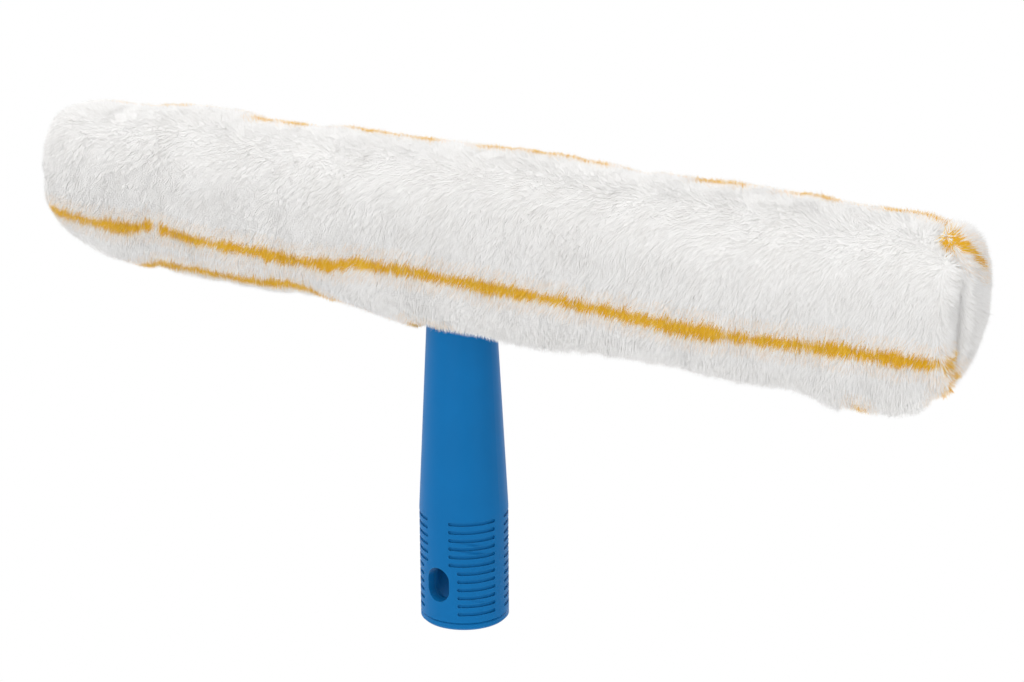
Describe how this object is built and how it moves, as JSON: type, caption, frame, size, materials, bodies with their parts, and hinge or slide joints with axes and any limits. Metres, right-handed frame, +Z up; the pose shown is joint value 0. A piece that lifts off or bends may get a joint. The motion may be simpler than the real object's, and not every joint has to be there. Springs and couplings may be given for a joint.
{
  "type": "window scrubber",
  "caption": "Hand-held T-bar window washer: tapered plastic handle with a pole socket, crossbar inside, and a removable striped plush sleeve with a hook-and-loop end flap.",
  "frame": {"origin": "centre of the pole socket's mouth, at the handle's lower end", "axes": "+Z up the handle to the crossbar, +X along the crossbar to the sleeve's open end, -Y towards the front, where the low stripe runs"},
  "size_m": [0.3784, 0.043, 0.1685],
  "materials": {
    "blue_plastic": "satin",
    "screw_steel": "satin",
    "white_plush": "matte",
    "white_tape": "matte",
    "white_thread": "matte",
    "closure_tape": "matte"
  },
  "bodies": {
    "t_bar": {"handle_grip": "blue_plastic", "pole_socket": "blue_plastic", "crossbar": "blue_plastic", "hub_screw": "screw_steel", "hub_washer": "screw_steel"},
    "sleeve": {"sleeve_plush": "white_plush", "end_seam": "white_tape", "slit_binding": "white_tape", "sleeve_stitching": "white_thread", "loop_strip": "closure_tape"},
    "flap": {"end_flap": "white_plush", "hook_strip": "closure_tape", "flap_stitching": "white_thread"}
  },
  "joints": [
    {"name": "sleeve_pull_off", "type": "slide", "parent": "t_bar", "child": "sleeve", "axis": [-1, 0, 0], "range_m": [0, 0.365], "deforming": ["end_flap"]},
    {"name": "flap_open", "type": "hinge", "parent": "sleeve", "child": "flap", "pos_m": [0.17715, 0.0199, 0.137], "axis": [0, 0, 1], "range_deg": [0, 120]}
  ]
}
